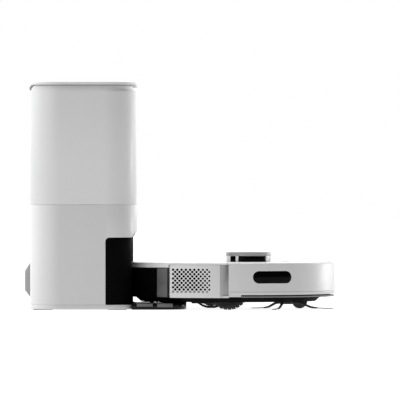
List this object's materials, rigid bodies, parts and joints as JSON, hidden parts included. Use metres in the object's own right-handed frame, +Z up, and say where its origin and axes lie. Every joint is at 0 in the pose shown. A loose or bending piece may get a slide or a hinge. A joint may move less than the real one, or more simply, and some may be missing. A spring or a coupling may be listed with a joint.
{
  "type": "robot vacuum",
  "caption": "Round robot vacuum parked rear-first in a tall self-emptying dock with a hinged lid and a low ramp.",
  "frame": {"origin": "middle of the footprint, on the floor", "axes": "+X is the way the robot drives out of the dock, +Z is up, +Y is to the robot's left"},
  "size_m": [0.506, 0.35, 0.368],
  "materials": {
    "white_plastic": "satin moulded white",
    "grey_plastic": "matte mid grey",
    "black_plastic": "matte black, fine moulded grain",
    "gloss_black": "polished black",
    "rubber": "soft matte rubber",
    "bristle": "dark nylon bristle",
    "bag_fabric": "non-woven bag cloth",
    "filter_paper": "pleated filter paper and card",
    "steel": "turned steel",
    "contact_brass": "polished contact metal",
    "circuit_board": "solder-masked circuit board",
    "battery_wrap": "shrink-wrapped cells",
    "status_light": "frosted light pipe"
  },
  "bodies": {
    "station": {"base_plate": "white_plastic", "foot_rear_left": "rubber", "foot_rear_right": "rubber", "foot_front_left": "rubber", "foot_front_right": "rubber", "lower_shell": "white_plastic", "upper_shell": "white_plastic", "lid_hinge_pin": "steel", "bag_bay_liner": "grey_plastic", "dust_bag": "bag_fabric", "bag_collar": "filter_paper", "bay_insert": "gloss_black", "docking_ramp": "gloss_black", "rear_cover": "grey_plastic", "mains_inlet": "black_plastic", "suction_motor": "black_plastic", "suction_duct": "black_plastic", "suction_port_seal": "rubber", "exhaust_filter": "filter_paper", "power_board": "circuit_board", "status_lens": "status_light"},
    "lid": {"lid": "white_plastic", "lid_gasket": "rubber"},
    "impeller": {"fan_impeller": "grey_plastic"},
    "contact_left": {"charge_contact_left": "contact_brass"},
    "contact_right": {"charge_contact_right": "contact_brass"},
    "robot": {"chassis": "black_plastic", "top_cover": "white_plastic", "side_shell_left": "white_plastic", "side_shell_right": "white_plastic", "lidar_base": "black_plastic", "lidar_cap": "grey_plastic", "lidar_window_ring": "gloss_black", "dust_tank": "gloss_black", "tank_filter": "filter_paper", "charge_pad_left": "contact_brass", "charge_pad_right": "contact_brass", "main_brush_cover": "black_plastic", "battery": "battery_wrap", "main_board": "circuit_board", "suction_fan": "black_plastic"},
    "bumper": {"bumper": "white_plastic", "window_left": "gloss_black", "window_right": "gloss_black", "window_front": "gloss_black"},
    "lidar": {"lidar_head": "black_plastic"},
    "power_button": {"power_button": "white_plastic"},
    "home_button": {"home_button": "white_plastic"},
    "arm_left": {"wheel_arm_left": "black_plastic"},
    "arm_right": {"wheel_arm_right": "black_plastic"},
    "wheel_left": {"wheel_hub_left": "grey_plastic", "tyre_left": "rubber"},
    "wheel_right": {"wheel_hub_right": "grey_plastic", "tyre_right": "rubber"},
    "caster": {"caster_fork": "black_plastic"},
    "caster_roller": {"caster_wheel": "rubber"},
    "side_brush": {"side_brush": "bristle"},
    "main_brush": {"main_brush": "rubber"}
  },
  "joints": [
    {"name": "lid_hinge", "type": "hinge", "parent": "station", "child": "lid", "pos_m": [-0.2405, 0, 0.359], "axis": [0, -1, 0], "range_deg": [0, 90]},
    {"name": "robot_drive_out", "type": "slide", "parent": "station", "child": "robot", "axis": [1, 0, 0], "range_m": [0, 0.45]},
    {"name": "bumper_press", "type": "slide", "parent": "robot", "child": "bumper", "axis": [-1, 0, 0], "range_m": [0, 0.003], "stiffness_N_per_m": 500, "springref_m": -0.003},
    {"name": "contact_left_press", "type": "slide", "parent": "station", "child": "contact_left", "axis": [0, 0, -1], "range_m": [0, 0.002], "stiffness_N_per_m": 300, "springref_m": -0.001},
    {"name": "contact_right_press", "type": "slide", "parent": "station", "child": "contact_right", "axis": [0, 0, -1], "range_m": [0, 0.002], "stiffness_N_per_m": 300, "springref_m": -0.001},
    {"name": "power_button_press", "type": "slide", "parent": "robot", "child": "power_button", "axis": [0, 0, -1], "range_m": [0, 0.001], "stiffness_N_per_m": 1500, "springref_m": -0.001},
    {"name": "home_button_press", "type": "slide", "parent": "robot", "child": "home_button", "axis": [0, 0, -1], "range_m": [0, 0.001], "stiffness_N_per_m": 1500, "springref_m": -0.001},
    {"name": "lidar_spin", "type": "hinge", "parent": "robot", "child": "lidar", "pos_m": [0.1114, 0, 0.075], "axis": [0, 0, 1], "continuous": true},
    {"name": "wheel_arm_left_drop", "type": "hinge", "parent": "robot", "child": "arm_left", "pos_m": [0.13, 0.095, 0.04], "axis": [0, -1, 0], "range_deg": [0, 25], "stiffness_Nm_per_rad": 0.15, "springref_deg": 34.38},
    {"name": "wheel_left_spin", "type": "hinge", "parent": "arm_left", "child": "wheel_left", "pos_m": [0.078, 0.118, 0.035], "axis": [0, 1, 0], "continuous": true},
    {"name": "wheel_arm_right_drop", "type": "hinge", "parent": "robot", "child": "arm_right", "pos_m": [0.13, -0.095, 0.04], "axis": [0, -1, 0], "range_deg": [0, 25], "stiffness_Nm_per_rad": 0.15, "springref_deg": 34.38},
    {"name": "wheel_right_spin", "type": "hinge", "parent": "arm_right", "child": "wheel_right", "pos_m": [0.078, -0.118, 0.035], "axis": [0, 1, 0], "continuous": true},
    {"name": "caster_swivel", "type": "hinge", "parent": "robot", "child": "caster", "pos_m": [0.19, 0, 0.025], "axis": [0, 0, 1], "continuous": true},
    {"name": "caster_roll", "type": "hinge", "parent": "caster", "child": "caster_roller", "pos_m": [0.195, 0, 0.013], "axis": [0, 1, 0], "continuous": true},
    {"name": "side_brush_spin", "type": "hinge", "parent": "robot", "child": "side_brush", "pos_m": [0.172, -0.086, 0.012], "axis": [0, 0, 1], "continuous": true},
    {"name": "main_brush_spin", "type": "hinge", "parent": "robot", "child": "main_brush", "pos_m": [0.05, 0, 0.024], "axis": [0, 1, 0], "continuous": true},
    {"name": "impeller_spin", "type": "hinge", "parent": "station", "child": "impeller", "pos_m": [-0.178, -0.046, 0.12], "axis": [0, 0, 1], "continuous": true}
  ],
  "couplings": [
    {"joint": "wheel_left_spin", "follows": "robot_drive_out", "rad_per_m": 28.571},
    {"joint": "wheel_right_spin", "follows": "robot_drive_out", "rad_per_m": 28.571}
  ]
}
